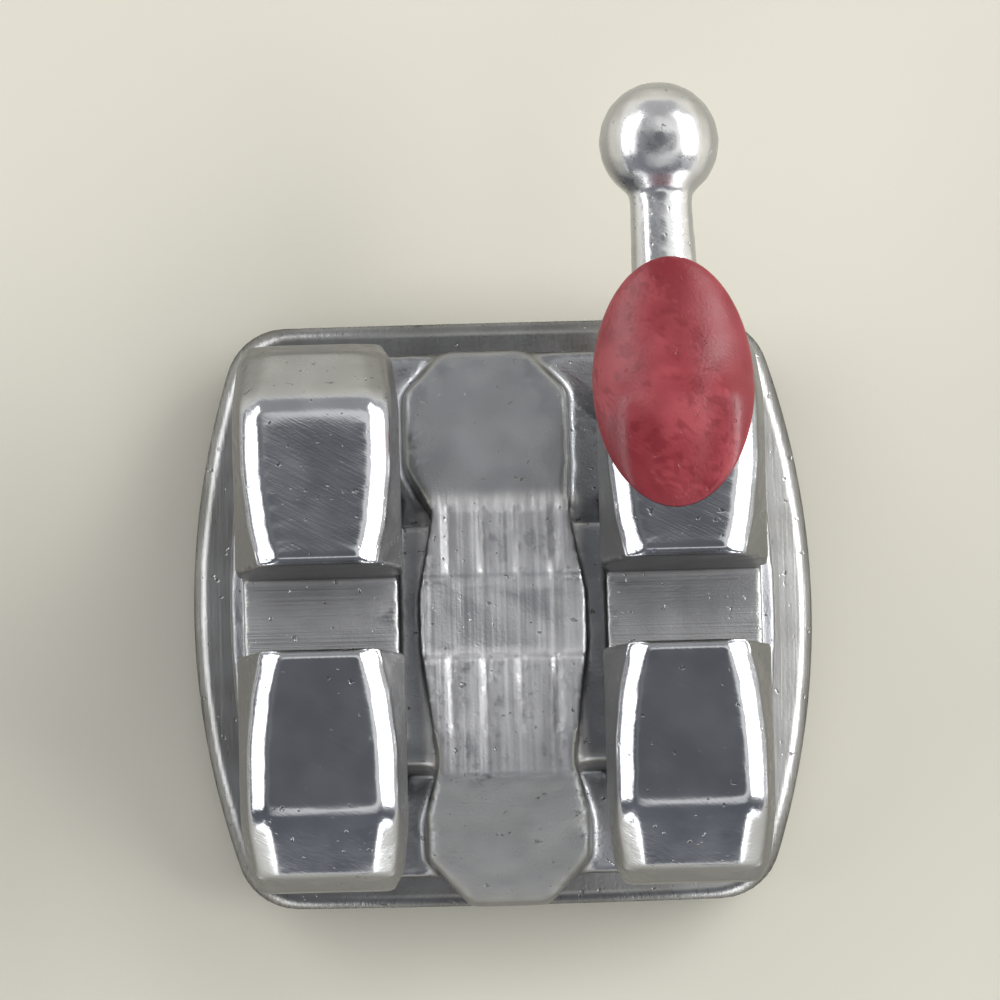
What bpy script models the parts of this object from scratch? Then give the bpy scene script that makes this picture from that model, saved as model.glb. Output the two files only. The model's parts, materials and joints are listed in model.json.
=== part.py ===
import math

import bmesh
import bpy
from mathutils import Matrix, Vector

# Modelled in millimetres. The root empty scales the part to metres.
MM = 0.001

# Archwire slot, 0.018 x 0.028 inch, with the torque that is cut between slot and pad.
SLOT_WIDTH = 0.457
SLOT_DEPTH = 0.711
SLOT_LEAD_IN = 0.035
SLOT_FLOOR_HEIGHT = 0.62
TORQUE = math.radians(7.0)

# Tie wings: two columns, each a bar from tip to tip over a waisted stem.
COLUMN_SPACING = 1.99
WING_REACH = 1.50
WING_FOOT = 0.455
WING_CROWN = 0.38
WING_THROAT = 0.29
WING_EDGE_RADIUS = 0.04
WING_ROLL = 0.12
WING_ROLL_DROP = 0.075
WING_SHOULDER = 0.45
CROWN_RISE = 0.03
TIE_GROOVE_RADIUS = 0.42
TIE_GROOVE_REACH = 1.06
STEM_HALF = 0.425
STEM_TOE = 0.04

# Bridge between the columns, with its ramps and scribed lines.
BRIDGE_HALF = 0.455
BRIDGE_RISE = 0.03
BRIDGE_GINGIVAL = 0.58
BRIDGE_OCCLUSAL = 0.86
BRIDGE_WEB_DROP = 0.13
NOSE_REACH = 1.53
NOSE_HEIGHT = 0.18
NOSE_TIP_HALF = 0.19
NOSE_CHAMFER = 0.25
NOSE_SHIFT = -0.07
SCRIBE_RADIUS = 0.032
SCRIBE_PITCH = 0.19
SCRIBE_COUNT = 4

# Ball hook on the distal gingival wing.
HOOK_REACH = 2.55
HOOK_SIDE = 0.92
HOOK_HEIGHT = 0.31
HOOK_NECK_RADIUS = 0.17
HOOK_BALL_RADIUS = 0.335

# Bonding pad: compound curve, foil, woven cloth.
PAD_RADIUS_ACROSS = 4.8
PAD_RADIUS_ALONG = 10.5
PAD_HALF_WIDTH = 1.725
PAD_END_WIDTH = 1.50
PAD_HALF_HEIGHT = 1.62
PAD_CORNER = 0.34
FOIL_THICKNESS = 0.10
SEAT_GAP = 0.01
FLANGE_THICKNESS = 0.15
FLANGE_MARGIN = 0.17
FLANGE_DRAFT = 0.05
TRIM_DEPTH = 1.60
FACET = 0.27
WIRE_PITCH = 0.3175
WIRE_RADIUS = 0.055
WIRE_WAVE = 0.040
WIRE_COUNT = 10

# Paint drop.
MARK_HALF_WIDTH = 0.44
MARK_HALF_LENGTH = 0.70
MARK_CENTRE = 1.19
MARK_RISE = 0.11
MARK_WRAP = 0.17
MARK_ROLL_DROP = 0.11

for stale in list(bpy.data.objects):
    bpy.data.objects.remove(stale, do_unlink=True)

parts = bpy.data.collections.new("orthodontic_bracket")
tools = bpy.data.collections.new("bracket_tools")
bpy.context.scene.collection.children.link(parts)
bpy.context.scene.collection.children.link(tools)

root = bpy.data.objects.new("bracket_root", None)
root.scale = (MM, MM, MM)
parts.objects.link(root)

slot_frame = bpy.data.objects.new("slot_frame", None)
slot_frame.parent = root
slot_frame.location = (0.0, 0.0, SLOT_FLOOR_HEIGHT)
slot_frame.rotation_euler = (-TORQUE, 0.0, 0.0)
parts.objects.link(slot_frame)

# An outline in a local XY plane, turned so that it reads as Y, Z and its thickness lies along X.
SIDE_VIEW = Matrix(((0, 0, 1, 0), (1, 0, 0, 0), (0, 1, 0, 0), (0, 0, 0, 1)))


def material(name, color, metallic, roughness):
    made = bpy.data.materials.new(name)
    made.use_nodes = True
    shader = made.node_tree.nodes["Principled BSDF"]
    shader.inputs["Base Color"].default_value = (*color, 1.0)
    shader.inputs["Metallic"].default_value = metallic
    shader.inputs["Roughness"].default_value = roughness
    made.diffuse_color = (*color, 1.0)
    return made


def add_object(name, mesh, parent, tool=True):
    made = bpy.data.objects.new(name, mesh)
    (tools if tool else parts).objects.link(made)
    made.parent = parent
    if tool:
        made.hide_render = True
        made.display_type = "WIRE"
    return made


def mesh_from(bm, name):
    bmesh.ops.recalc_face_normals(bm, faces=bm.faces)
    mesh = bpy.data.meshes.new(name)
    bm.to_mesh(mesh)
    bm.free()
    return mesh


def curve_to_mesh(curve, name):
    # The caps of a filled curve are loose until they are welded.
    holder = bpy.data.objects.new(name, curve)
    tools.objects.link(holder)
    bpy.context.view_layer.update()
    mesh = bpy.data.meshes.new_from_object(holder.evaluated_get(bpy.context.evaluated_depsgraph_get()))
    bpy.data.objects.remove(holder, do_unlink=True)
    bm = bmesh.new()
    bm.from_mesh(mesh)
    bpy.data.meshes.remove(mesh)
    bmesh.ops.remove_doubles(bm, verts=bm.verts, dist=1e-5)
    return mesh_from(bm, name)


def outline_mesh(name, points, half_depth, turn=Matrix.Identity(4)):
    curve = bpy.data.curves.new(name, "CURVE")
    curve.dimensions = "2D"
    curve.fill_mode = "BOTH"
    curve.extrude = half_depth
    spline = curve.splines.new("POLY")
    spline.points.add(len(points) - 1)
    for point, (x, y) in zip(spline.points, points):
        point.co = (x, y, 0.0, 1.0)
    spline.use_cyclic_u = True
    mesh = curve_to_mesh(curve, name)
    mesh.transform(turn)
    return mesh


def tube_mesh(name, paths, radius, resolution):
    curve = bpy.data.curves.new(name, "CURVE")
    curve.dimensions = "3D"
    curve.bevel_depth = radius
    curve.bevel_resolution = resolution
    curve.use_fill_caps = True
    for path in paths:
        spline = curve.splines.new("POLY")
        spline.points.add(len(path) - 1)
        for point, (position, swell) in zip(spline.points, path):
            point.co = (*position, 1.0)
            point.radius = swell
    return curve_to_mesh(curve, name)


def rounded(corners, steps=3, closed=True):
    # Each corner is x, y and a fillet radius.
    points = []
    count = len(corners)
    for index, (x, y, radius) in enumerate(corners):
        here = Vector((x, y))
        if radius <= 0.0 or (not closed and index in (0, count - 1)):
            points.append((x, y))
            continue
        before = Vector(corners[index - 1][:2]) - here
        after = Vector(corners[(index + 1) % count][:2]) - here
        before.normalize()
        after.normalize()
        half = before.angle(after) / 2.0
        middle = here + (before + after).normalized() * (radius / math.sin(half))
        start = here + before * (radius / math.tan(half)) - middle
        sweep = math.pi - 2.0 * half
        if before.cross(after) > 0.0:
            sweep = -sweep
        for step in range(steps + 1):
            turned = start.copy()
            turned.rotate(Matrix.Rotation(sweep * step / steps, 2))
            points.append(tuple(middle + turned))
    return points


def level(line, position):
    # Height of a line given as points in rising order.
    for (x0, y0), (x1, y1) in zip(line, line[1:]):
        if x0 <= position <= x1:
            return y0 + (y1 - y0) * (position - x0) / (x1 - x0)
    return line[0][1] if position < line[0][0] else line[-1][1]


def loft_mesh(name, rings):
    bm = bmesh.new()
    loops = [[bm.verts.new(point) for point in ring] for ring in rings]
    size = len(loops[0])
    for near, far in zip(loops, loops[1:]):
        for index in range(size):
            following = (index + 1) % size
            bm.faces.new((near[index], near[following], far[following], far[index]))
    bm.faces.new(loops[0])
    bm.faces.new(loops[-1])
    return mesh_from(bm, name)


def boolean(target, tool, operation):
    step = target.modifiers.new(tool.name, "BOOLEAN")
    step.operation = operation
    step.solver = "EXACT"
    step.object = tool


# Side view of one wing, from the slot outwards. The crown falls away near the tip, over an arched underside.
TIP = WING_REACH
CROWN_LINE = rounded([
    (0.0, SLOT_DEPTH + CROWN_RISE, 0.0),
    (TIP * 0.74, SLOT_DEPTH * 0.97, TIP * 0.15),
    (TIP * 0.955, SLOT_DEPTH * 0.52, TIP * 0.07),
    (TIP, SLOT_DEPTH * 0.27, 0.0)], 4, closed=False)
UNDER_LINE = rounded([
    (0.0, SLOT_DEPTH * 0.10, 0.0),
    (TIP * 0.42, SLOT_DEPTH * 0.12, 0.0),
    (TIP * 0.60, SLOT_DEPTH * 0.33, TIP * 0.08),
    (TIP * 0.80, SLOT_DEPTH * 0.22, TIP * 0.08),
    (TIP * 0.93, SLOT_DEPTH * 0.01, TIP * 0.035),
    (TIP, SLOT_DEPTH * 0.10, 0.0)], 3, closed=False)
CROWN_HALF = [(0.0, WING_THROAT), (TIP * 0.15, WING_THROAT),
              (TIP * 0.30, WING_THROAT * 0.4 + WING_CROWN * 0.6),
              (TIP * 0.50, WING_CROWN), (TIP * 0.80, WING_CROWN),
              (TIP * 0.95, WING_CROWN * 0.90), (TIP, WING_CROWN * 0.78)]
FOOT_HALF = [(0.0, WING_FOOT), (TIP * 0.75, WING_FOOT), (TIP * 0.93, WING_FOOT * 0.93),
             (TIP, WING_FOOT * 0.80)]


def wing_bar(name, swell=0.0):
    stations = {0.0}
    for line in (CROWN_LINE, UNDER_LINE, CROWN_HALF):
        stations.update(round(point[0], 5) for point in line)
    outward = sorted(stations)
    rings = []
    for place in [-value for value in reversed(outward[1:])] + outward:
        reach = abs(place)
        top = level(CROWN_LINE, reach) + swell
        bottom = level(UNDER_LINE, reach) - swell
        crown = level(CROWN_HALF, reach) + swell
        foot = level(FOOT_HALF, reach) + swell
        edge = min(WING_EDGE_RADIUS, (top - bottom) * 0.45)
        shoulder = bottom + (top - bottom) * WING_SHOULDER
        drop = min(WING_ROLL_DROP, (top - bottom) * 0.3)
        outer = crown + WING_ROLL * 0.25
        flat = crown - WING_ROLL * 0.75
        section = rounded([(-foot, bottom, edge), (foot, bottom, edge), (foot, shoulder, 0.0),
                           (outer, top - drop, edge), (flat, top, edge),
                           (-flat, top, edge), (-outer, top - drop, edge), (-foot, shoulder, 0.0)])
        along = place + math.copysign(swell, place) * (reach / TIP)
        rings.append([(x, along, z) for x, z in section])
    return loft_mesh(name, rings)


def barrel(half_width, end_width, half_height, corner, steps=6):
    # A rounded outline whose two sides bow outwards.
    bow = half_width - end_width
    slope = math.atan2(2.0 * bow, half_height - corner)
    side_end = half_height - corner * (1.0 - math.sin(slope))
    quarter = []
    for step in range(steps + 1):
        share = step / steps
        quarter.append((half_width - bow * share * share, side_end * share))
    middle = (end_width - corner * math.cos(slope), side_end - corner * math.sin(slope))
    for step in range(1, 5):
        angle = slope + (math.pi / 2.0 - slope) * step / 4.0
        quarter.append((middle[0] + corner * math.cos(angle), middle[1] + corner * math.sin(angle)))
    right = [(x, -y) for x, y in reversed(quarter[1:])] + quarter
    return right + [(-x, -y) for x, y in right]


def base_point(across, along, offset):
    # The pad's compound curve: an arc across the tooth, swept on a larger arc along it.
    turn_across = across / PAD_RADIUS_ACROSS
    turn_along = along / PAD_RADIUS_ALONG
    reach = PAD_RADIUS_ALONG - PAD_RADIUS_ACROSS + (PAD_RADIUS_ACROSS + offset) * math.cos(turn_across)
    return Vector(((PAD_RADIUS_ACROSS + offset) * math.sin(turn_across),
                   reach * math.sin(turn_along),
                   reach * math.cos(turn_along) - PAD_RADIUS_ALONG))


def base_slab(name, cells, high, low):
    # A slab of even thickness on the pad's curve, with the same facets at every depth.
    bm = bmesh.new()
    bmesh.ops.create_grid(bm, x_segments=2 * cells, y_segments=2 * cells, size=cells * FACET)
    grown = bmesh.ops.extrude_face_region(bm, geom=list(bm.faces))
    lower = [item for item in grown["geom"] if isinstance(item, bmesh.types.BMVert)]
    bmesh.ops.translate(bm, verts=lower, vec=(0.0, 0.0, -1.0))
    for vert in bm.verts:
        vert.co = base_point(vert.co.x, vert.co.y, high if vert.co.z > -0.5 else low)
    return mesh_from(bm, name)


def above_pad(along, height):
    # The height in the slot's own frame of a point this far above the pad.
    drop = base_point(0.0, along, height).z - SLOT_FLOOR_HEIGHT
    return (drop + along * math.sin(TORQUE)) / math.cos(TORQUE)


steel = material("cast_steel", (0.56, 0.57, 0.60), 1.0, 0.30)
foil_steel = material("foil_steel", (0.60, 0.60, 0.62), 1.0, 0.38)
wire_steel = material("wire_steel", (0.52, 0.52, 0.54), 1.0, 0.42)
paint = material("mark_paint", (0.40, 0.028, 0.045), 0.0, 0.42)

# Body: the bridge is its own mesh, and the rest is joined to it and cut from it. Everything runs down past
# the pad's curve, and one cut trims it all to the pad.
ROOT_DEPTH = -SLOT_FLOOR_HEIGHT - TRIM_DEPTH * 0.45
bridge_side = rounded([
    (-NOSE_REACH, above_pad(-NOSE_REACH, NOSE_HEIGHT), 0.0),
    (-BRIDGE_OCCLUSAL, BRIDGE_RISE, SCRIBE_RADIUS * 1.5),
    (BRIDGE_GINGIVAL, BRIDGE_RISE, SCRIBE_RADIUS * 1.5),
    (NOSE_REACH, above_pad(NOSE_REACH, NOSE_HEIGHT), 0.0),
    (NOSE_REACH, ROOT_DEPTH, 0.0),
    (-NOSE_REACH, ROOT_DEPTH, 0.0)])
body = add_object("bracket_body", outline_mesh("bracket_body", bridge_side, BRIDGE_HALF * 1.6, SIDE_VIEW),
                  slot_frame, tool=False)

# Plan of the bridge: a nose at each end, a neck behind it, and a lozenge at the slot.
neck = BRIDGE_HALF * 0.82
shoulder = NOSE_REACH - NOSE_CHAMFER
half_plan = [
    (NOSE_TIP_HALF + NOSE_SHIFT, NOSE_REACH * 1.02), (BRIDGE_HALF + NOSE_SHIFT, shoulder),
    (BRIDGE_HALF + NOSE_SHIFT, (shoulder + BRIDGE_GINGIVAL) * 0.46), (neck, BRIDGE_GINGIVAL),
    (BRIDGE_HALF, SLOT_WIDTH * 0.28), (BRIDGE_HALF, -SLOT_WIDTH * 0.35), (neck, -BRIDGE_OCCLUSAL * 0.93),
    (BRIDGE_HALF, -(shoulder + BRIDGE_OCCLUSAL) * 0.5), (BRIDGE_HALF, -shoulder),
    (NOSE_TIP_HALF, -NOSE_REACH * 1.02)]
other_plan = []
for index, (x, y) in enumerate(half_plan):
    other_plan.append((2.0 * NOSE_SHIFT - x if index < 3 else -x, y))
plan_mesh = outline_mesh("bridge_plan", half_plan + other_plan[::-1], -ROOT_DEPTH * 1.4)
bridge_plan = add_object("bridge_plan", plan_mesh, slot_frame)
boolean(body, bridge_plan, "INTERSECT")

inner_face = COLUMN_SPACING / 2.0 - STEM_HALF
web_ends = (-BRIDGE_OCCLUSAL * 0.93, BRIDGE_GINGIVAL * 0.90)
bm = bmesh.new()
bmesh.ops.create_cube(bm, size=1.0)
bmesh.ops.scale(bm, verts=bm.verts, vec=((inner_face + STEM_HALF * 0.15) * 2.0, web_ends[1] - web_ends[0],
                                         -ROOT_DEPTH - BRIDGE_WEB_DROP))
bmesh.ops.translate(bm, verts=bm.verts, vec=(0.0, (web_ends[0] + web_ends[1]) / 2.0,
                                             (ROOT_DEPTH - BRIDGE_WEB_DROP) / 2.0))
web = add_object("web", mesh_from(bm, "web"), slot_frame)
boolean(body, web, "UNION")

flange_outline = barrel(PAD_HALF_WIDTH - FLANGE_MARGIN, PAD_END_WIDTH - FLANGE_MARGIN * 0.5,
                        PAD_HALF_HEIGHT - FLANGE_MARGIN * 0.7, PAD_CORNER * 0.8)
flange = add_object("flange", base_slab("flange", 8, FLANGE_THICKNESS, -SLOT_FLOOR_HEIGHT), root)
rings = []
for share in (-1.0, 1.0):
    draft = FLANGE_DRAFT * (share + 1.0) * 0.5 * SLOT_FLOOR_HEIGHT / FLANGE_THICKNESS * 0.5
    rings.append([(x - math.copysign(draft, x), y - math.copysign(draft, y), share * SLOT_FLOOR_HEIGHT)
                  for x, y in flange_outline])
flange_plan = add_object("flange_plan", loft_mesh("flange_plan", rings), root)
boolean(flange, flange_plan, "INTERSECT")
boolean(body, flange, "UNION")

# Each stem is waisted by the round tie grooves, which run up into the arch of the wings.
arch = level(UNDER_LINE, TIP * 0.60)
groove_height = arch - TIE_GROOVE_RADIUS * 0.86
entry = math.pi - math.asin(min(0.995, (arch + SLOT_DEPTH * 0.06 - groove_height) / TIE_GROOVE_RADIUS))
waist = []
for step in range(13):
    angle = entry + (math.radians(250.0) - entry) * step / 12.0
    waist.append((TIE_GROOVE_REACH + TIE_GROOVE_RADIUS * math.cos(angle),
                  groove_height + TIE_GROOVE_RADIUS * math.sin(angle)))
foot = waist[-1][0] + STEM_TOE
stem_side = [(foot, ROOT_DEPTH), (foot, waist[-1][1] - STEM_TOE)] + waist[::-1]
stem_side += [(-y, z) for y, z in reversed(stem_side)]
stem_mesh = outline_mesh("stem", stem_side, STEM_HALF, SIDE_VIEW)
bar_mesh = wing_bar("wing_bar")
for side, label in ((-1.0, "mesial"), (1.0, "distal")):
    for kind, shape in (("stem", stem_mesh), ("wings", bar_mesh)):
        piece = add_object(f"{label}_{kind}", shape, slot_frame)
        piece.location.x = side * COLUMN_SPACING / 2.0
        boolean(body, piece, "UNION")

# Hook: a neck that thins away from the wing, and a ball.
neck_start = WING_REACH * 0.68


def hook_path(swell=0.0):
    path = []
    for step in range(9):
        share = step / 8.0
        bend = (1.0 - share) ** 2
        place = (HOOK_SIDE + HOOK_NECK_RADIUS * 0.3 * bend, neck_start + (HOOK_REACH - neck_start) * share,
                 HOOK_HEIGHT + HOOK_NECK_RADIUS * 0.3 * bend)
        path.append((place, 1.0 + 0.42 * bend + swell / HOOK_NECK_RADIUS))
    return path


neck_piece = add_object("hook_neck", tube_mesh("hook_neck", [hook_path()], HOOK_NECK_RADIUS, 4), slot_frame)
boolean(body, neck_piece, "UNION")
bm = bmesh.new()
bmesh.ops.create_uvsphere(bm, u_segments=18, v_segments=10, radius=HOOK_BALL_RADIUS)
ball = add_object("hook_ball", mesh_from(bm, "hook_ball"), slot_frame)
ball.location = (HOOK_SIDE, HOOK_REACH, HOOK_HEIGHT)
ball.rotation_euler = (math.pi / 2.0, 0.0, 0.0)
boolean(body, ball, "UNION")

# Cuts: the slot with its lead-in, the scribed lines, and everything under the pad's curve.
half_slot = SLOT_WIDTH / 2.0
mouth = SLOT_DEPTH + CROWN_RISE
slot_side = [(-half_slot, 0.0), (half_slot, 0.0), (half_slot, mouth - SLOT_LEAD_IN * 1.6),
             (half_slot + SLOT_LEAD_IN * 2.0, mouth + SLOT_LEAD_IN),
             (half_slot + SLOT_LEAD_IN * 2.0, mouth + SLOT_DEPTH * 0.5)]
slot_side += [(-y, z) for y, z in reversed(slot_side[2:])]
slot_mesh = outline_mesh("archwire_slot", slot_side, PAD_HALF_WIDTH * 1.2, SIDE_VIEW)
slot = add_object("archwire_slot", slot_mesh, slot_frame)
boolean(body, slot, "DIFFERENCE")

scribe_paths = []
for index in range(SCRIBE_COUNT):
    across = (index - (SCRIBE_COUNT - 1) / 2.0) * SCRIBE_PITCH
    height = BRIDGE_RISE + SCRIBE_RADIUS * 0.25
    ends = (-BRIDGE_OCCLUSAL - SCRIBE_PITCH * 0.5, BRIDGE_GINGIVAL + SCRIBE_PITCH * 0.5)
    scribe_paths.append([((across, end, height), 1.0) for end in ends])
scribes = add_object("scribed_lines", tube_mesh("scribed_lines", scribe_paths, SCRIBE_RADIUS, 1), slot_frame)
boolean(body, scribes, "DIFFERENCE")

under = add_object("under_pad", base_slab("under_pad", 13, SEAT_GAP, -TRIM_DEPTH), root)
boolean(body, under, "DIFFERENCE")
body.data.materials.append(steel)

# Pad foil.
pad_outline = barrel(PAD_HALF_WIDTH, PAD_END_WIDTH, PAD_HALF_HEIGHT, PAD_CORNER)
foil = add_object("base_foil", base_slab("base_foil", 8, 0.0, -FOIL_THICKNESS), root, tool=False)
pad_plan = add_object("pad_plan", outline_mesh("pad_plan", pad_outline, PAD_HALF_WIDTH), root)
boolean(foil, pad_plan, "INTERSECT")
foil.data.materials.append(foil_steel)

# Woven cloth: every wire passes over and under the ones that cross it, and each crossing is bonded.
CLOTH_DEPTH = -(FOIL_THICKNESS + SEAT_GAP + WIRE_RADIUS + WIRE_WAVE)


def span(outline, place, axis):
    # Half-length of the outline along the other axis at this place.
    best = 0.0
    for index, start in enumerate(outline):
        end = outline[(index + 1) % len(outline)]
        low, high = sorted((start[axis], end[axis]))
        if low <= place <= high and high > low:
            share = (place - start[axis]) / (end[axis] - start[axis])
            other = 1 - axis
            best = max(best, start[other] + (end[other] - start[other]) * share)
    return best


def wire_path(index, axis):
    middle = (WIRE_COUNT - 1) / 2.0
    place = (index - middle) * WIRE_PITCH
    reach = span(pad_outline, place, axis) - WIRE_RADIUS * 0.6
    stops = []
    for crossing in range(WIRE_COUNT):
        wave = WIRE_WAVE if (index + crossing + axis) % 2 else -WIRE_WAVE
        centre = (crossing - middle) * WIRE_PITCH
        for stop in (centre - WIRE_PITCH * 0.20, centre + WIRE_PITCH * 0.20):
            if abs(stop) < reach - WIRE_PITCH * 0.1:
                stops.append((stop, wave))
    stops = [(-reach, stops[0][1])] + stops + [(reach, stops[-1][1])]
    path = []
    for along, wave in stops:
        plan = (place, along) if axis == 0 else (along, place)
        path.append((base_point(plan[0], plan[1], CLOTH_DEPTH + wave), 1.0))
    return path


wires = [tube_mesh(name, [wire_path(index, axis) for index in range(WIRE_COUNT)], WIRE_RADIUS, 1)
         for axis, name in enumerate(("retention_mesh", "weft"))]
cloth = add_object("retention_mesh", wires[0], root, tool=False)
weft = add_object("weft", wires[1], root)
boolean(cloth, weft, "UNION")
cloth.data.materials.append(wire_steel)

# Colour mark: a drop that follows the crown of the wing and the root of the hook.
mark_line = rounded([
    (0.0, SLOT_DEPTH + CROWN_RISE, 0.0),
    (TIP * 0.74, SLOT_DEPTH * 0.97, TIP * 0.15),
    (TIP * 0.87, SLOT_DEPTH * 0.78, TIP * 0.07),
    (HOOK_REACH, SLOT_DEPTH * 0.60, 0.0)], 4, closed=False)
bm = bmesh.new()
turned = Matrix.Rotation(math.pi / 2.0, 4, "X")
bmesh.ops.create_uvsphere(bm, u_segments=14, v_segments=14, radius=1.0, matrix=turned)
for vert in bm.verts:
    roll = MARK_ROLL_DROP * vert.co.x ** 2
    vert.co.x *= MARK_HALF_WIDTH
    vert.co.y = MARK_CENTRE + vert.co.y * MARK_HALF_LENGTH
    wrap = MARK_WRAP * (1.0 - 0.45 * max(0.0, (vert.co.y - MARK_CENTRE) / MARK_HALF_LENGTH))
    vert.co.z = level(mark_line, vert.co.y) - roll + vert.co.z * (MARK_RISE if vert.co.z > 0.0 else wrap)
mark = add_object("colour_mark", mesh_from(bm, "colour_mark"), slot_frame, tool=False)
mark.location.x = (COLUMN_SPACING / 2.0 + HOOK_SIDE) / 2.0
wing_room = add_object("wing_room", wing_bar("wing_room", SEAT_GAP), slot_frame)
wing_room.location.x = COLUMN_SPACING / 2.0
room_mesh = tube_mesh("hook_room", [hook_path(SEAT_GAP)], HOOK_NECK_RADIUS, 4)
hook_room = add_object("hook_room", room_mesh, slot_frame)
boolean(mark, wing_room, "DIFFERENCE")
boolean(mark, hook_room, "DIFFERENCE")
mark.data.materials.append(paint)

for piece in (body, foil, cloth, mark):
    piece.data.shade_smooth()
    piece.data.set_sharp_from_angle(angle=math.radians(35.0))

# The part stands on the lowest wires, centred over its own footprint.
bpy.context.view_layer.update()
graph = bpy.context.evaluated_depsgraph_get()
corners = []
for piece in (body, foil, cloth, mark):
    solved = piece.evaluated_get(graph)
    shape = solved.to_mesh()
    corners += [solved.matrix_world @ vert.co for vert in shape.vertices]
    solved.to_mesh_clear()
low = [min(corner[axis] for corner in corners) for axis in range(3)]
high = [max(corner[axis] for corner in corners) for axis in range(3)]
root.location = (-(low[0] + high[0]) / 2.0, -(low[1] + high[1]) / 2.0, -low[2])
bpy.context.view_layer.update()
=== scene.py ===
import json
import math

import bmesh
import bpy
from mathutils import Matrix, Vector
from mathutils.bvhtree import BVHTree


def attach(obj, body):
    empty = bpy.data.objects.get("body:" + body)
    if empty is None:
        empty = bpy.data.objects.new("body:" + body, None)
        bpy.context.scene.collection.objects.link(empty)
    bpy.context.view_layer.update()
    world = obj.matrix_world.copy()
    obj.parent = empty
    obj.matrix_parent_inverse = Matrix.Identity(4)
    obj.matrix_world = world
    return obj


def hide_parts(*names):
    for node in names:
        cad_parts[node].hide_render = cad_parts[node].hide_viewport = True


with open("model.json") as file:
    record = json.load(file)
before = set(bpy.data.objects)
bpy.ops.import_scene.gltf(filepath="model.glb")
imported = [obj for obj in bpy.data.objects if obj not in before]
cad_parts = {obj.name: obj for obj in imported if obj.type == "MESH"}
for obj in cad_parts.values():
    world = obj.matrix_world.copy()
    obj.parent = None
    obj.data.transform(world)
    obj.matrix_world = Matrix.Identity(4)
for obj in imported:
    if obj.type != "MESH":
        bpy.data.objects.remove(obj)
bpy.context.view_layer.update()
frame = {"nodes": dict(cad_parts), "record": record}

# shapes are modelled in millimetres and become metres in addPiece; floor, lamps and camera are in metres
millimetre = 0.001
slotMount = next(mount for mount in frame["record"]["mounts"] if mount["name"] == "archwire_slot")
slotPoint = Vector(slotMount["pos_m"]) / millimetre  # centre of the slot's floor
slotUp = Vector(slotMount["axis"]).normalized()
slotTilt = math.atan2(slotUp.y, slotUp.z)
halfWay = 0.5  # how far one pass of smoothing moves a corner towards the middle of its neighbours

print("frame loaded")


def slotPlace(x, y, z):
    # a place given along, across and out of the slot
    return slotPoint + Matrix.Rotation(-slotTilt, 3, "X") @ Vector((x, y, z))


def inSlotFrame(place):
    # how far along, across and out of the slot a place is
    return Matrix.Rotation(slotTilt, 3, "X") @ (place - slotPoint)


def addObject(name, data):
    made = bpy.data.objects.new(name, data)
    bpy.context.scene.collection.objects.link(made)
    return made


def toMesh(shape, name):
    mesh = bpy.data.meshes.new(name)
    shape.to_mesh(mesh)
    shape.free()
    return mesh


def fromMesh(mesh):
    shape = bmesh.new()
    shape.from_mesh(mesh)
    return shape


def solved(holder):
    # the mesh that an object's modifiers or curve give; the object itself goes
    bpy.context.view_layer.update()
    mesh = bpy.data.meshes.new_from_object(holder.evaluated_get(bpy.context.evaluated_depsgraph_get()))
    bpy.data.objects.remove(holder, do_unlink=True)
    return mesh


def relax(shape, corners, passes):
    for _ in range(passes):
        bmesh.ops.smooth_vert(
            shape, verts=corners, factor=halfWay, use_axis_x=True, use_axis_y=True, use_axis_z=True)


def addPiece(name, mesh, material, replaced):
    # brings a finished shape to metres and ties it to the frame
    mesh.transform(Matrix.Scale(millimetre, 4))
    mesh.name = name
    mesh.materials.clear()
    mesh.materials.append(material)
    mesh.shade_smooth()
    piece = addObject(name, mesh)
    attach(piece, "root")
    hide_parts(replaced)
    mesh.calc_loop_triangles()
    print(name, len(mesh.loop_triangles), "triangles")


# node helpers

def feed(tree, value, socket):
    # a socket takes a plain value, or a link from another socket
    if isinstance(value, bpy.types.NodeSocket):
        tree.links.new(value, socket)
    else:
        socket.default_value = value


def maths(tree, operation, *values, clamp=False):
    made = tree.nodes.new("ShaderNodeMath")
    made.operation = operation
    made.use_clamp = clamp
    for value, socket in zip(values, made.inputs):
        feed(tree, value, socket)
    return made.outputs[0]


def allOf(tree, mask, *others):
    for other in others:
        mask = maths(tree, "MULTIPLY", mask, other)
    return mask


def without(tree, mask, other):
    return maths(tree, "MULTIPLY", mask, maths(tree, "SUBTRACT", 1.0, other))


def varied(tree, value, noise, amount):
    # the value, moved up and down by a noise about its middle
    return maths(tree, "MULTIPLY_ADD", maths(tree, "SUBTRACT", noise, 0.5), amount, value)


def mapRange(tree, value, low, high, toLow=0.0, toHigh=1.0):
    made = tree.nodes.new("ShaderNodeMapRange")
    made.interpolation_type = "SMOOTHSTEP"
    tree.links.new(value, made.inputs["Value"])
    for label, limit in (("From Min", low), ("From Max", high), ("To Min", toLow), ("To Max", toHigh)):
        made.inputs[label].default_value = limit
    return made.outputs["Result"]


def mixValue(tree, mask, first, second):
    made = tree.nodes.new("ShaderNodeMix")
    for label, value in (("Factor", mask), ("A", first), ("B", second)):
        feed(tree, value, made.inputs[label])
    return made.outputs["Result"]


def mixColor(tree, mask, first, second, blendType="MIX"):
    made = tree.nodes.new("ShaderNodeMix")
    made.data_type = "RGBA"
    made.blend_type = blendType
    feed(tree, mask, made.inputs["Factor"])
    for value, socket in ((first, made.inputs[6]), (second, made.inputs[7])):  # the two colours of a Mix node
        feed(tree, (*value, 1.0) if isinstance(value, tuple) else value, socket)
    return made.outputs[2]


def shadeColor(tree, color, value):
    # the colour times a grey value
    return mixColor(tree, 1.0, color, value, "MULTIPLY")


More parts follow.
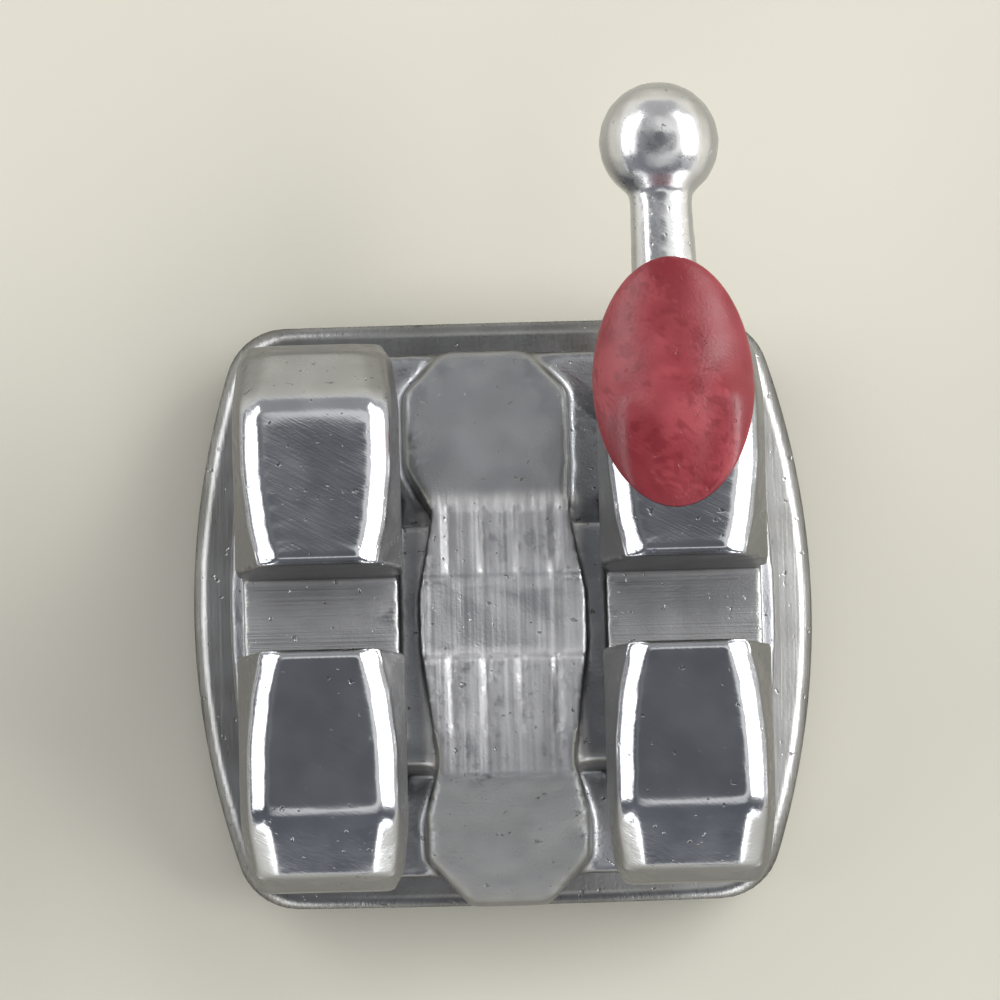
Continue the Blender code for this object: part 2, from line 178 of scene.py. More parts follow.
def addNoise(tree, place, scale, detail):
    made = tree.nodes.new("ShaderNodeTexNoise")
    made.inputs["Detail"].default_value = detail
    feed(tree, place, made.inputs["Vector"])
    feed(tree, scale, made.inputs["Scale"])
    return made.outputs["Fac"]


def splitAxes(tree, vector):
    made = tree.nodes.new("ShaderNodeSeparateXYZ")
    tree.links.new(vector, made.inputs[0])
    return made.outputs


def objectSpace(tree):
    # object coordinates in millimetres
    coordinates = tree.nodes.new("ShaderNodeTexCoord")
    mapping = tree.nodes.new("ShaderNodeMapping")
    mapping.inputs["Scale"].default_value = (1 / millimetre,) * 3
    tree.links.new(coordinates.outputs["Object"], mapping.inputs["Vector"])
    return mapping.outputs["Vector"]


def addBump(tree, shader, height, depth):
    bump = tree.nodes.new("ShaderNodeBump")
    bump.inputs["Distance"].default_value = depth * millimetre
    tree.links.new(height, bump.inputs["Height"])
    tree.links.new(bump.outputs["Normal"], shader.inputs["Normal"])


# patterns that more than one finish uses

patterns = {
    "grainDetail": 1.0, "pitDetail": 2.0, "pitBand": (0.32, 0.25),
    "lineDetail": 1.5,
    "edgeAndCornerBreak": 0.05, "edgeAndCornerGain": 12.0,
}


def newGroup(name, inputs, outputs):
    group = bpy.data.node_groups.new(name, "ShaderNodeTree")
    for label, value in inputs.items():
        socket = group.interface.new_socket(label, in_out="INPUT", socket_type="NodeSocketFloat")
        socket.default_value = value
    for label in outputs:
        group.interface.new_socket(label, in_out="OUTPUT", socket_type="NodeSocketFloat")
    return group, group.nodes.new("NodeGroupInput"), group.nodes.new("NodeGroupOutput")


def placeGroup(tree, group, values):
    made = tree.nodes.new("ShaderNodeGroup")
    made.node_tree = group
    for label, value in values.items():
        made.inputs[label].default_value = value
    return made


def buildGrain():
    # fine unevenness of a metal skin: soft waves, sandy grain and a few pits
    group, given, result = newGroup(
        "metalGrain",
        {"Wave Size": 0.2, "Grain Size": 0.02, "Grain Depth": 0.3, "Pit Size": 0.05, "Pit Depth": 0.5},
        ("Tone", "Grain", "Pits", "Height"))
    space = objectSpace(group)

    def noiseOf(size, detail):
        return addNoise(group, space, maths(group, "DIVIDE", 1.0, given.outputs[size]), detail)

    waves = noiseOf("Wave Size", patterns["grainDetail"])
    grain = noiseOf("Grain Size", patterns["grainDetail"])
    pits = mapRange(group, noiseOf("Pit Size", patterns["pitDetail"]), *patterns["pitBand"])
    height = maths(group, "MULTIPLY_ADD", grain, given.outputs["Grain Depth"], waves)
    height = maths(group, "SUBTRACT", height, maths(group, "MULTIPLY", pits, given.outputs["Pit Depth"]))
    for label, value in (("Tone", waves), ("Grain", grain), ("Pits", pits), ("Height", height)):
        group.links.new(value, result.inputs[label])
    return group


def buildHairlines():
    # scratches as noise drawn out along one direction of the object
    group, given, result = newGroup(
        "hairlines", {"Size X": 1.0, "Size Y": 0.02, "Size Z": 0.02, "Turn": 0.0}, ("Lines",))
    turned = group.nodes.new("ShaderNodeVectorRotate")
    turned.rotation_type = "Z_AXIS"
    group.links.new(objectSpace(group), turned.inputs["Vector"])
    group.links.new(given.outputs["Turn"], turned.inputs["Angle"])
    axes = splitAxes(group, turned.outputs[0])
    drawnOut = group.nodes.new("ShaderNodeCombineXYZ")
    for axis in "XYZ":
        stretched = maths(group, "DIVIDE", axes[axis], given.outputs["Size " + axis])
        group.links.new(stretched, drawnOut.inputs[axis])
    lines = addNoise(group, drawnOut.outputs[0], 1.0, patterns["lineDetail"])
    group.links.new(lines, result.inputs["Lines"])
    return group


def buildEdgeWearAndCornerShade():
    # convex edges, which are rubbed on the steel and carry painted shade along the paint's rim, and painted
    # shade in the corners, both broken up by the grain
    group, given, result = newGroup(
        "edgeWearAndCornerShade", {"Edge": 0.56, "Corner": 0.44, "Tone": 0.5}, ("ConvexEdges", "CornerShade"))
    geometry = group.nodes.new("ShaderNodeNewGeometry")
    point = varied(group, geometry.outputs["Pointiness"], given.outputs["Tone"], patterns["edgeAndCornerBreak"])
    rubbed = maths(group, "SUBTRACT", point, given.outputs["Edge"])
    darkening = maths(group, "SUBTRACT", given.outputs["Corner"], point)
    for label, value in (("ConvexEdges", rubbed), ("CornerShade", darkening)):
        gained = maths(group, "MULTIPLY", value, patterns["edgeAndCornerGain"], clamp=True)
        group.links.new(gained, result.inputs[label])
    return group


metalGrain = buildGrain()
hairlines = buildHairlines()
edgeWearAndCornerShade = buildEdgeWearAndCornerShade()


# finishes

def newFinish(name, metallic=0.0):
    material = bpy.data.materials.new(name)
    material.use_nodes = True
    shader = material.node_tree.nodes["Principled BSDF"]
    shader.inputs["Metallic"].default_value = metallic
    return material, material.node_tree, shader


def placeWearAndShade(tree, look, grain):
    wearAndShade = placeGroup(tree, edgeWearAndCornerShade, look["wearAndShade"])
    tree.links.new(grain.outputs["Tone"], wearAndShade.inputs["Tone"])
    return wearAndShade


def driftingColor(tree, look, grain):
    # two tones that drift into each other
    drift = mapRange(tree, grain.outputs["Tone"], *look["toneBand"])
    return mixColor(tree, drift, look["dark"], look["light"])


castSteelLook = {
    "polished": (0.60, 0.61, 0.635), "polishedRoughness": 0.18,
    # the hook's colour is the polished steel made brighter on the hook and its ball: a painted highlight
    "hook": (0.86, 0.86, 0.865), "hookRoughness": 0.33,
    "ground": (0.66, 0.66, 0.665), "groundRoughness": 0.48,
    # the scribed colour is the ground steel made brighter on the bridge's plateau: a painted highlight
    "scribed": (0.88, 0.88, 0.895), "scribedRoughness": 0.58,
    "cast": (0.41, 0.417, 0.436), "castRoughness": 0.44,
    # the grime colour is what pits take, and also painted shade on steep faces and in the corners
    "darkening": (0.17, 0.165, 0.155), "pitsAndCornerShadeShare": 0.5, "steepShade": 0.66,
    "rubbedRoughness": 0.15, "rubbedShare": 0.5,
    "grain": {
        "Wave Size": 0.24, "Grain Size": 0.016, "Grain Depth": 0.15, "Pit Size": 0.05, "Pit Depth": 0.6},
    "scuffs": {"Size X": 0.30, "Size Y": 0.009, "Size Z": 0.02, "Turn": 0.5},
    "milling": {"Size X": 1.5, "Size Y": 0.014, "Size Z": 0.014},
    "scribing": {"Size X": 0.045, "Size Y": 1.4, "Size Z": 0.2},
    "wearAndShade": {"Edge": 0.53, "Corner": 0.455},
    # a band is where a mask begins and where it is full, and then what it goes from and to if not 0 and 1
    "hookBand": (1.45, 1.65),
    "raisedBand": (0.12, 0.40),
    "steepBand": (0.73, 0.42), "hookSteepness": -0.5,  # a steep face counts half on the hook
    "bridgeBand": (0.48, 0.42), "bridgeUpperBand": (0.72, 0.62), "bridgeLowerBand": (-0.90, -0.82),
    "slotBand": (0.25, 0.21), "slotFloorBand": (-0.10, -0.03),
    "toneBand": (0.3, 0.7, 0.88, 1.0), "scribeBand": (0.35, 0.65, 0.82, 1.03),
    "toneRoughness": 0.14, "scuffRoughness": 0.12,
    # depths of the patterns, as shares of the bump's depth
    "polishedGrain": 0.20, "scuffDepth": 0.045, "castLineDepth": 0.05, "slotLineDepth": 0.35,
    "scribeDepth": 1.1, "bumpDepth": 0.009,
}


def bodyMasks(tree):
    # where on the body, from the height out of the slot, the distance along and across it, and how steep
    look = castSteelLook
    x, y, z = splitAxes(tree, objectSpace(tree))
    outward = maths(tree, "MULTIPLY", z, math.cos(slotTilt))
    outward = maths(tree, "MULTIPLY_ADD", y, math.sin(slotTilt), outward)
    slotLevel = slotPoint.z * math.cos(slotTilt) + slotPoint.y * math.sin(slotTilt)
    outward = maths(tree, "SUBTRACT", outward, slotLevel)
    fromSlot = maths(tree, "SUBTRACT", y, slotPoint.y)

    onHook = mapRange(tree, fromSlot, *look["hookBand"])
    raised = mapRange(tree, outward, *look["raisedBand"])
    normal = tree.nodes.new("ShaderNodeTexCoord").outputs["Normal"]
    steep = mapRange(tree, maths(tree, "ABSOLUTE", splitAxes(tree, normal)["Z"]), *look["steepBand"])
    steep = maths(tree, "MULTIPLY", steep, maths(tree, "MULTIPLY_ADD", onHook, look["hookSteepness"], 1.0))
    onPlateau = allOf(
        tree,
        mapRange(tree, fromSlot, *look["bridgeUpperBand"]),
        mapRange(tree, fromSlot, *look["bridgeLowerBand"]),
        mapRange(tree, maths(tree, "ABSOLUTE", x), *look["bridgeBand"]))
    inSlot = allOf(
        tree,
        mapRange(tree, maths(tree, "ABSOLUTE", fromSlot), *look["slotBand"]),
        mapRange(tree, outward, *look["slotFloorBand"]))
    return onHook, raised, steep, onPlateau, inSlot


def makeCastSteel():
    # tumbling polishes what stands out, the slot and the bridge are ground, and the rest stays as cast; steep
    # faces and corners get painted shade, and the hook and the bridge's plateau get a painted highlight
    look = castSteelLook
    material, tree, shader = newFinish("polishedCastSteel", metallic=1.0)
    grain = placeGroup(tree, metalGrain, look["grain"])
    wearAndShade = placeWearAndShade(tree, look, grain)
    scuffs = placeGroup(tree, hairlines, look["scuffs"]).outputs["Lines"]
    milling = placeGroup(tree, hairlines, look["milling"]).outputs["Lines"]
    scribing = placeGroup(tree, hairlines, look["scribing"]).outputs["Lines"]
    onHook, raised, steep, onPlateau, inSlot = bodyMasks(tree)
    polished = without(tree, maths(tree, "MAXIMUM", raised, onHook), steep)
    fresh = without(tree, maths(tree, "MAXIMUM", inSlot, onPlateau), raised)

    # the bridge's plateau takes a brighter copy of the ground steel as painted highlight
    groundAndLitScribed = mixColor(tree, onPlateau, look["ground"], look["scribed"])
    # the hook takes the brighter copy of the polished steel as painted highlight
    polishedAndLitHook = mixColor(tree, onHook, look["polished"], look["hook"])
    color = mixColor(tree, polished, mixColor(tree, fresh, look["cast"], groundAndLitScribed), polishedAndLitHook)
    color = shadeColor(tree, color, mapRange(tree, grain.outputs["Tone"], *look["toneBand"]))
    # steep faces are pulled towards the dark colour: painted shade on the flanks
    color = mixColor(tree, maths(tree, "MULTIPLY", steep, look["steepShade"]), color, look["darkening"])
    scribeShade = mapRange(tree, scribing, *look["scribeBand"])
    color = shadeColor(tree, color, mixValue(tree, onPlateau, 1.0, scribeShade))
    # pits darken the colour, together with painted shade in the corners
    pitsAndCornerShade = maths(tree, "MAXIMUM", wearAndShade.outputs["CornerShade"], grain.outputs["Pits"])
    color = mixColor(tree, maths(tree, "MULTIPLY", pitsAndCornerShade, look["pitsAndCornerShadeShare"]), color, look["darkening"])
    tree.links.new(color, shader.inputs["Base Color"])

    workedRough = mixValue(tree, onPlateau, look["groundRoughness"], look["scribedRoughness"])
    shiningRough = mixValue(tree, onHook, look["polishedRoughness"], look["hookRoughness"])
    rough = mixValue(tree, polished, mixValue(tree, fresh, look["castRoughness"], workedRough), shiningRough)
    rough = varied(tree, rough, grain.outputs["Tone"], look["toneRoughness"])
    rough = varied(tree, rough, scuffs, look["scuffRoughness"])
    rubbed = maths(tree, "MULTIPLY", wearAndShade.outputs["ConvexEdges"], look["rubbedShare"])
    rough = mixValue(tree, rubbed, rough, look["rubbedRoughness"])
    tree.links.new(rough, shader.inputs["Roughness"])

    milledDepth = maths(tree, "MULTIPLY_ADD", inSlot, look["slotLineDepth"], look["castLineDepth"])
    milled = maths(tree, "MULTIPLY", milling, milledDepth)
    lines = mixValue(tree, onPlateau, milled, maths(tree, "MULTIPLY", scribing, look["scribeDepth"]))
    unpolishedHeight = maths(tree, "ADD", grain.outputs["Height"], lines)
    polishedHeight = maths(tree, "MULTIPLY", grain.outputs["Height"], look["polishedGrain"])
    polishedHeight = maths(tree, "MULTIPLY_ADD", scuffs, look["scuffDepth"], polishedHeight)
    addBump(tree, shader, mixValue(tree, polished, unpolishedHeight, polishedHeight), look["bumpDepth"])
    return material


foilSteelLook = {
    "dark": (0.28, 0.277, 0.268), "light": (0.38, 0.38, 0.377), "toneBand": (0.3, 0.7),
    "pit": (0.15, 0.143, 0.135), "pitShare": 0.5,
    "roughness": 0.30, "rolledRoughness": 0.14, "rubbedRoughness": 0.22, "rubbedShare": 0.5,
    "grain": {
        "Wave Size": 0.35, "Grain Size": 0.02, "Grain Depth": 0.12, "Pit Size": 0.06, "Pit Depth": 0.4},
    "rolling": {"Size X": 0.016, "Size Y": 1.6, "Size Z": 0.016},
    "wearAndShade": {"Edge": 0.53, "Corner": 0.46},
    "rolledDepth": 0.16, "bumpDepth": 0.005,
}


def makeFoilSteel():
    # rolled foil, satin, with the marks of its rolling along it
    look = foilSteelLook
    material, tree, shader = newFinish("satinFoilSteel", metallic=1.0)
    grain = placeGroup(tree, metalGrain, look["grain"])
    wearAndShade = placeWearAndShade(tree, look, grain)
    rolling = placeGroup(tree, hairlines, look["rolling"]).outputs["Lines"]
    pits = maths(tree, "MULTIPLY", grain.outputs["Pits"], look["pitShare"])
    color = mixColor(tree, pits, driftingColor(tree, look, grain), look["pit"])
    tree.links.new(color, shader.inputs["Base Color"])
    rubbed = maths(tree, "MULTIPLY", wearAndShade.outputs["ConvexEdges"], look["rubbedShare"])
    rough = varied(tree, look["roughness"], rolling, look["rolledRoughness"])
    tree.links.new(mixValue(tree, rubbed, rough, look["rubbedRoughness"]), shader.inputs["Roughness"])
    height = maths(tree, "MULTIPLY_ADD", rolling, look["rolledDepth"], grain.outputs["Height"])
    addBump(tree, shader, height, look["bumpDepth"])
    return material


wireSteelLook = {
    "dark": (0.38, 0.365, 0.34), "light": (0.55, 0.545, 0.535), "toneBand": (0.3, 0.7),
    "pit": (0.16, 0.15, 0.14), "pitShare": 0.6,
    "roughness": 0.38, "toneRoughness": 0.3,
    "grain": {
        "Wave Size": 0.11, "Grain Size": 0.014, "Grain Depth": 0.35, "Pit Size": 0.03, "Pit Depth": 0.5},
    "bumpDepth": 0.005,
}


def makeWireSteel():
    # drawn wire, with duller and brighter stretches
    look = wireSteelLook
    material, tree, shader = newFinish("drawnWireSteel", metallic=1.0)
    grain = placeGroup(tree, metalGrain, look["grain"])
    pits = maths(tree, "MULTIPLY", grain.outputs["Pits"], look["pitShare"])
    color = mixColor(tree, pits, driftingColor(tree, look, grain), look["pit"])
    tree.links.new(color, shader.inputs["Base Color"])
    rough = varied(tree, look["roughness"], grain.outputs["Tone"], look["toneRoughness"])
    tree.links.new(rough, shader.inputs["Roughness"])
    addBump(tree, shader, grain.outputs["Height"], look["bumpDepth"])
    return material


markPaintLook = {
    "dark": (0.245, 0.024, 0.034), "light": (0.385, 0.060, 0.074), "toneBand": (0.35, 0.65),
    "speck": (0.50, 0.07, 0.09), "speckShare": 0.3,
    # the rim colour is painted shade along the drop's curved rim
    "rimShade": (0.18, 0.008, 0.015), "rimShadeShare": 0.5,
    "roughness": 0.36, "toneRoughness": 0.3,
    "grain": {
        "Wave Size": 0.26, "Grain Size": 0.02, "Grain Depth": 0.12, "Pit Size": 0.05, "Pit Depth": 0.25},
    "wearAndShade": {"Edge": 0.54, "Corner": 0.44},
    "bumpDepth": 0.012,
}


def makeMarkPaint():
    # hand-dotted paint: deep red, finely specked, and with painted shade where it curves over at its rim
    look = markPaintLook
    material, tree, shader = newFinish("redMarkPaint")
    grain = placeGroup(tree, metalGrain, look["grain"])
    wearAndShade = placeWearAndShade(tree, look, grain)
    specks = maths(tree, "MULTIPLY", grain.outputs["Grain"], look["speckShare"])
    color = mixColor(tree, specks, driftingColor(tree, look, grain), look["speck"])
    # painted shade darkens the drop where it curves over at its rim
    rimShade = maths(tree, "MULTIPLY", wearAndShade.outputs["ConvexEdges"], look["rimShadeShare"])
    tree.links.new(mixColor(tree, rimShade, color, look["rimShade"]), shader.inputs["Base Color"])
    rough = varied(tree, look["roughness"], grain.outputs["Tone"], look["toneRoughness"])
    tree.links.new(rough, shader.inputs["Roughness"])
    addBump(tree, shader, grain.outputs["Height"], look["bumpDepth"])
    return material


castSteel = makeCastSteel()
foilSteel = makeFoilSteel()
wireSteel = makeWireSteel()
markPaint = makeMarkPaint()
print("finishes made")

# body: wings, slot, bridge and hook in one moulded piece

moulded = {
    "weld": 0.0002, "voxel": 0.016, "passes": 3, "share": 0.45, "settlePasses": 1,
    # the wings start this far out of the slot, from its middle across it, and along it; then comes the hook
    "wingFrom": 0.30, "wingClear": 0.30, "wingHalf": 0.50, "hookFrom": 1.75, "wingPasses": 12,
    # the bridge's two ends reach this far along the slot, start this far across it and end at this height
    "noseHalf": 0.66, "noseFrom": 0.64, "noseTo": 0.10, "nosePasses": 22,
}


def softSkin(mesh):
    # an even skin over the solid, with every edge worn round
    holder = addObject("holder", mesh)
    remesh = holder.modifiers.new("remesh", "REMESH")
    remesh.mode = "VOXEL"
    remesh.voxel_size = moulded["voxel"]
    soften = holder.modifiers.new("soften", "SMOOTH")
    soften.factor = halfWay
    soften.iterations = moulded["passes"]
    thin = holder.modifiers.new("thin", "DECIMATE")
    thin.ratio = moulded["share"]
    settle = holder.modifiers.new("settle", "SMOOTH")
    settle.factor = halfWay
    settle.iterations = moulded["settlePasses"]
    return solved(holder)


def makeBody():
    # the wings' long edges and the rims of the bridge's ends are rolled over further than the slot's edges
    solid = fromMesh(frame["nodes"]["bracket_body"].data)
    bmesh.ops.scale(solid, verts=solid.verts, vec=(1 / millimetre,) * 3)
    bmesh.ops.remove_doubles(solid, verts=solid.verts, dist=moulded["weld"])
    shape = fromMesh(softSkin(toMesh(solid, "bodySolid")))
    wings = []
    noses = []
    for corner in shape.verts:
        x, y, z = inSlotFrame(corner.co)
        onWing = z > moulded["wingFrom"] and abs(y) > moulded["wingClear"] and abs(x) > moulded["wingHalf"]
        if onWing or y > moulded["hookFrom"]:
            wings.append(corner)
        elif z < moulded["noseTo"] and abs(y) > moulded["noseFrom"] and abs(x) < moulded["noseHalf"]:
            noses.append(corner)
    relax(shape, wings, moulded["wingPasses"])
    relax(shape, noses, moulded["nosePasses"])
    return toMesh(shape, "body")


bodyMesh = makeBody()
bodySkin = BVHTree.FromBMesh(fromMesh(bodyMesh))  # in millimetres still: the paint is laid on it
addPiece("mouldedBody", bodyMesh, castSteel, "bracket_body")

# pad foil

pad = {
    "arcAcross": 4.8, "arcAlong": 10.5, "crownDepth": 0.62,  # the crown lies this far under the slot's floor
    "halfWidth": 1.725, "endWidth": 1.50, "halfHeight": 1.62, "corner": 0.34,
    "thickness": 0.10, "cells": 44, "searchReach": 3.0, "searchSteps": 30,
}
padTop = slotPoint.z - pad["crownDepth"]
padMiddle = slotPoint.y


def onPad(across, along, offset):
    # a place on the pad's compound curve, offset outwards from the foil's face
    turnAcross = across / pad["arcAcross"]
    turnAlong = along / pad["arcAlong"]
    reach = pad["arcAlong"] - pad["arcAcross"] + (pad["arcAcross"] + offset) * math.cos(turnAcross)
    return Vector(((pad["arcAcross"] + offset) * math.sin(turnAcross),
                   padMiddle + reach * math.sin(turnAlong),
                   padTop + reach * math.cos(turnAlong) - pad["arcAlong"]))


def underPlan(x, y, offset):
    # the place on the same surface that is seen at x, y from straight above
    across = pad["arcAcross"] + offset
    reach = pad["arcAlong"] - pad["arcAcross"] + math.sqrt(across * across - x * x)
    return Vector((x, padMiddle + y, padTop + math.sqrt(reach * reach - y * y) - pad["arcAlong"]))


def halfWidthAt(along):
    # the pad's side bows outwards and turns in at the corner
    bow = pad["halfWidth"] - pad["endWidth"]
    slope = math.atan2(2 * bow, pad["halfHeight"] - pad["corner"])
    sideEnd = pad["halfHeight"] - pad["corner"] * (1 - math.sin(slope))
    if along <= sideEnd:
        return pad["halfWidth"] - bow * (along / sideEnd) ** 2
    middleX = pad["endWidth"] - pad["corner"] * math.cos(slope)
    middleY = sideEnd - pad["corner"] * math.sin(slope)
    rise = min(1.0, (along - middleY) / pad["corner"])
    return middleX + pad["corner"] * math.sqrt(max(0.0, 1 - rise * rise))


def farthest(high, isInside):
    # the largest distance that is still inside, found by halving
    low = 0.0
    for _ in range(pad["searchSteps"]):
        middle = (low + high) / 2
        low, high = (middle, high) if isInside(middle) else (low, middle)
    return low


def rimReach(angle):
    # distance from the pad's middle to its rim in this direction
    def isInside(reach):
        along = abs(reach * math.sin(angle))
        return along < pad["halfHeight"] and abs(reach * math.cos(angle)) < halfWidthAt(along)
    return farthest(pad["searchReach"], isInside)


def halfHeightAt(across):
    # half the pad's height at this distance from its middle line
    return farthest(pad["halfHeight"], lambda along: halfWidthAt(along) > abs(across))


def makeFoil():
    # a square grid drawn out to the pad's outline, with a second sheet one unit below, laid on the curve
    shape = bmesh.new()
    bmesh.ops.create_grid(shape, x_segments=pad["cells"], y_segments=pad["cells"], size=1.0)
    for corner in shape.verts:
        spread = max(abs(corner.co.x), abs(corner.co.y))
        angle = math.atan2(corner.co.y, corner.co.x)
        reach = rimReach(angle) * spread
        corner.co = (reach * math.cos(angle), reach * math.sin(angle), 0)
    grown = bmesh.ops.extrude_face_region(shape, geom=list(shape.faces))["geom"]
    lower = [part for part in grown if isinstance(part, bmesh.types.BMVert)]
    bmesh.ops.translate(shape, verts=lower, vec=(0, 0, -1))
    for corner in shape.verts:
        corner.co = underPlan(corner.co.x, corner.co.y, pad["thickness"] * corner.co.z)
    bmesh.ops.recalc_face_normals(shape, faces=shape.faces)
    return toMesh(shape, "foil")


addPiece("padFoil", makeFoil(), foilSteel, "base_foil")

# woven cloth

cloth = {
    "pitch": 0.3175, "radius": 0.055, "wave": 0.046, "count": 10, "gap": 0.012,
    "stepsPerPitch": 6, "sides": 10, "weld": 1e-5,
    "rimClear": 0.03, "uneven": 0.012, "unevenStep": 2.4,  # the wires' ends are cut a little unevenly
}


def makeCloth():
    depth = -(pad["thickness"] + cloth["gap"] + cloth["radius"] + cloth["wave"])
    middle = (cloth["count"] - 1) / 2
    wires = bpy.data.curves.new("wires", "CURVE")
    wires.dimensions = "3D"
    wires.bevel_depth = cloth["radius"]
    wires.bevel_resolution = cloth["sides"] // 2 - 2  # four sides, and two more for each step
    wires.use_fill_caps = True
    for axis, reachAt in enumerate((halfHeightAt, halfWidthAt)):
        for index in range(cloth["count"]):
            place = (index - middle) * cloth["pitch"]
            reach = reachAt(abs(place))
            reach -= cloth["rimClear"] + cloth["uneven"] * math.sin(index * cloth["unevenStep"] + axis)
            stops = int(2 * reach / cloth["pitch"] * cloth["stepsPerPitch"])
            spline = wires.splines.new("POLY")
            spline.points.add(stops)
            for stop, point in enumerate(spline.points):
                along = -reach + 2 * reach * stop / stops
                # over one wire and under the next
                turn = math.pi * (along / cloth["pitch"] + middle + index + axis + 1)
                plan = (place, along) if axis == 0 else (along, place)
                point.co = (*onPad(*plan, depth + cloth["wave"] * math.cos(turn)), 1)
    shape = fromMesh(solved(addObject("holder", wires)))
    bmesh.ops.remove_doubles(shape, verts=shape.verts, dist=cloth["weld"])
    bmesh.ops.recalc_face_normals(shape, faces=shape.faces)
    return toMesh(shape, "cloth")


addPiece("wovenCloth", makeCloth(), wireSteel, "retention_mesh")

# paint drop on the wing that carries the hook

drop = {
    "halfWidth": 0.44, "halfLength": 0.70, "centre": 1.19, "side": 0.9575,
    # it rises over its middle line and wraps round below it, that line rolls off sideways, and the film and
    # the gap are measured from the body's skin
    "rise": 0.085, "wrap": 0.15, "roll": 0.12, "film": 0.05, "gap": 0.005,
    "around": 96, "along": 88, "passes": 5, "smoothFrom": 0.02, "castFrom": 2.0,
}
# the middle line's height out of the slot, along the wing's crown and then the hook's neck, past both ends
crownLine = [(0.0, 0.73), (0.8, 0.706), (1.0, 0.695), (1.1, 0.672), (1.2, 0.628), (1.3, 0.588), (1.4, 0.562),
             (1.5, 0.545), (1.7, 0.522), (2.6, 0.43)]


def crownHeight(along):
    for (x0, y0), (x1, y1) in zip(crownLine, crownLine[1:]):
        if along <= x1:
            return y0 + (y1 - y0) * (along - x0) / (x1 - x0)


def makeDrop():
    # a film over the wing and the root of the hook, thickest in its middle, with its underside on their skin
    shape = bmesh.new()
    bmesh.ops.create_uvsphere(shape, u_segments=drop["around"], v_segments=drop["along"], radius=1.0,
                              matrix=Matrix.Rotation(math.pi / 2, 4, "X"))
    outer = [corner for corner in shape.verts if corner.co.z > drop["smoothFrom"]]
    for corner in shape.verts:
        x, y, z = corner.co
        across = drop["side"] + x * drop["halfWidth"]
        along = drop["centre"] + y * drop["halfLength"]
        struck = bodySkin.ray_cast(slotPlace(across, along, drop["castFrom"]), -slotUp)[0]
        skin = -math.inf if struck is None else inSlotFrame(struck).z + drop["gap"]
        middle = crownHeight(along) - drop["roll"] * x * x
        if z > 0:
            height = max(skin + drop["film"] * z, middle + drop["rise"] * z)
        else:
            height = max(skin, middle + drop["wrap"] * z)
        corner.co = slotPlace(across, along, height)
    relax(shape, outer, drop["passes"])
    bmesh.ops.recalc_face_normals(shape, faces=shape.faces)
    return toMesh(shape, "drop")


addPiece("redDrop", makeDrop(), markPaint, "colour_mark")
print("pieces made")

# floor, sky, lamps and camera

floorLook = {"color": (0.84, 0.812, 0.705), "roughness": 0.9, "gloss": 0.1, "radius": 0.6, "sides": 96}


def addFloor():
    shape = bmesh.new()
    bmesh.ops.create_circle(shape, cap_ends=True, segments=floorLook["sides"], radius=floorLook["radius"])
    floor = addObject("floor", toMesh(shape, "floor"))
    material, tree, shader = newFinish("paleFloor")
    shader.inputs["Base Color"].default_value = (*floorLook["color"], 1)
    shader.inputs["Roughness"].default_value = floorLook["roughness"]
    shader.inputs["Specular IOR Level"].default_value = floorLook["gloss"]
    floor.data.materials.append(material)


skyLook = {
    "overhead": (0.145, 0.149, 0.164),
    "high": (0.95, 0.95, 0.94),
    "right": (0.62, 0.62, 0.61),
    "left": (0.09, 0.095, 0.11),
    "far": (0.40, 0.40, 0.41),
    "near": (0.15, 0.158, 0.184),
    "horizon": (0.88, 0.88, 0.87),
    # bands along a direction's own x, y or z
    "rightBand": (-0.35, 0.35), "farBand": (0.35, 0.75), "nearBand": (-0.25, -0.60),
    "highBand": (0.66, 0.80), "highRightBand": (-0.45, 0.0, 0.15, 1.0),
    "overheadBand": (0.85, 0.93), "overheadNearBand": (0.50, 0.42), "horizonBand": (0.12, 0.05),
}


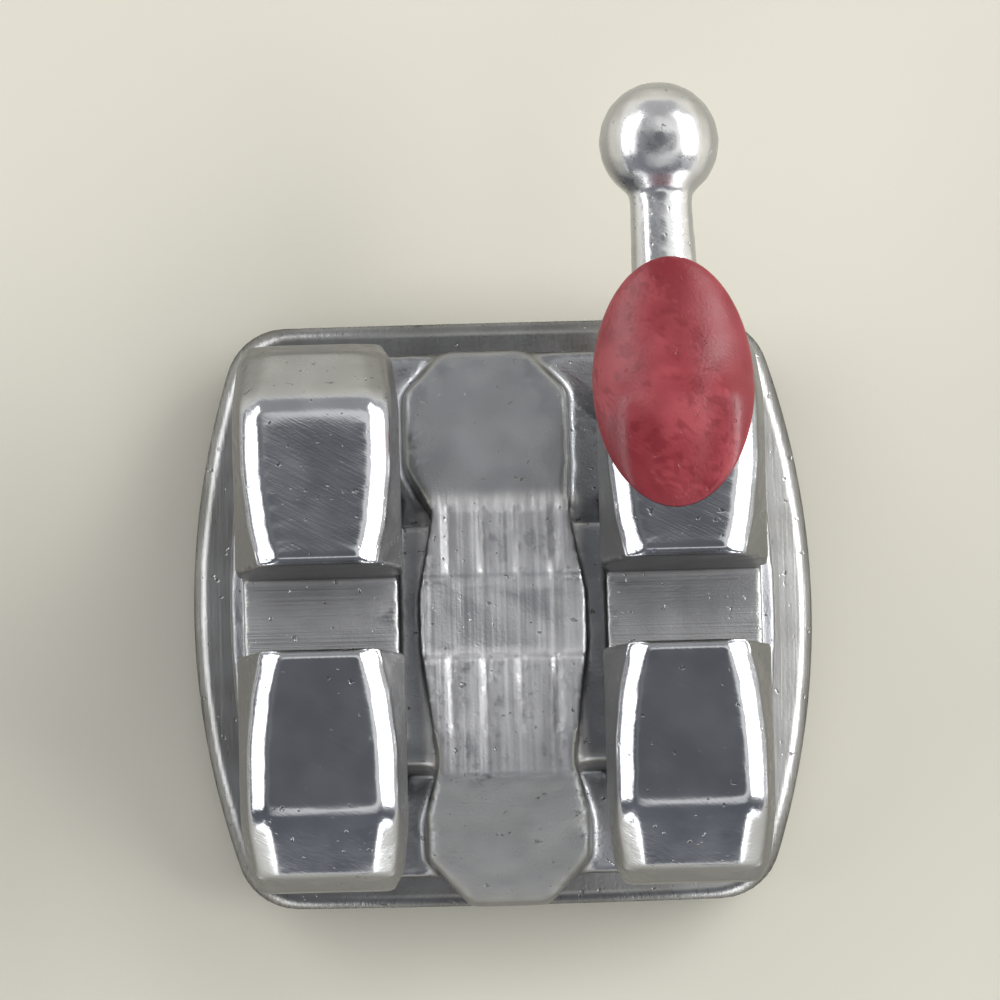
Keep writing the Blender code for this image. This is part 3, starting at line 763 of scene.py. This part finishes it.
def lightSky():
    # dark straight above, a bright ring round that, then each side by itself, and a pale horizon
    world = bpy.data.worlds.new("studio")
    bpy.context.scene.world = world
    world.use_nodes = True
    sky = world.node_tree
    x, y, z = splitAxes(sky, sky.nodes.new("ShaderNodeTexCoord").outputs["Generated"])

    def band(axis, name):
        return mapRange(sky, axis, *skyLook[name + "Band"])

    light = mixColor(sky, band(x, "right"), skyLook["left"], skyLook["right"])
    light = mixColor(sky, band(y, "far"), light, skyLook["far"])
    light = mixColor(sky, band(y, "near"), light, skyLook["near"])
    ring = allOf(sky, band(z, "high"), band(x, "highRight"))
    light = mixColor(sky, ring, light, skyLook["high"])
    patch = allOf(sky, band(z, "overhead"), band(y, "overheadNear"))
    light = mixColor(sky, patch, light, skyLook["overhead"])
    light = mixColor(sky, band(z, "horizon"), light, skyLook["horizon"])
    sky.links.new(light, sky.nodes["Background"].inputs["Color"])


lamps = {
    # azimuth and elevation in degrees, distance, size, and how bright the box's face is
    "rightBox": (12, 28, 0.20, (0.22, 0.07), 6.4),
    "leftBox": (168, 26, 0.20, (0.22, 0.06), 3.4),
    "nearRightBox": (-61, 8, 0.22, (0.09, 0.045), 3.6),
    "nearLeftBox": (-119, 8, 0.22, (0.09, 0.045), 3.2),
    "farRightBox": (50, 26, 0.22, (0.08, 0.07), 3.4),
    "farLeftBox": (130, 26, 0.22, (0.08, 0.07), 3.1),
}


def addLamp(name, azimuth, elevation, distance, size, radiance):
    # a soft box that looks at the bracket
    lamp = bpy.data.lights.new(name, "AREA")
    lamp.shape = "RECTANGLE"
    lamp.size, lamp.size_y = size
    lamp.energy = radiance * math.pi * size[0] * size[1]
    holder = addObject(name, lamp)
    across = distance * math.cos(math.radians(elevation))
    holder.location = (across * math.cos(math.radians(azimuth)), across * math.sin(math.radians(azimuth)),
                       distance * math.sin(math.radians(elevation)))
    holder.rotation_euler = (-holder.location).to_track_quat("-Z", "Y").to_euler()


# the picture's side is frameSide at the height frameLevel, both in millimetres
cameraLook = {"lens": 300, "frameSide": 5.5, "frameLevel": 1.0, "turn": -1.5, "clip": (0.001, 5)}


def addCamera():
    # looks straight down, turned a little
    data = bpy.data.cameras.new("camera")
    data.lens = cameraLook["lens"]
    data.clip_start, data.clip_end = cameraLook["clip"]
    distance = cameraLook["frameSide"] * millimetre * data.lens / data.sensor_width
    camera = addObject("camera", data)
    camera.location = (0.0, 0.0, distance + cameraLook["frameLevel"] * millimetre)
    camera.rotation_euler = (0, 0, math.radians(cameraLook["turn"]))
    bpy.context.scene.camera = camera


addFloor()
lightSky()
for name, setting in lamps.items():
    addLamp(name, *setting)
addCamera()
bpy.context.scene.view_settings.view_transform = "Standard"
print("stage set")
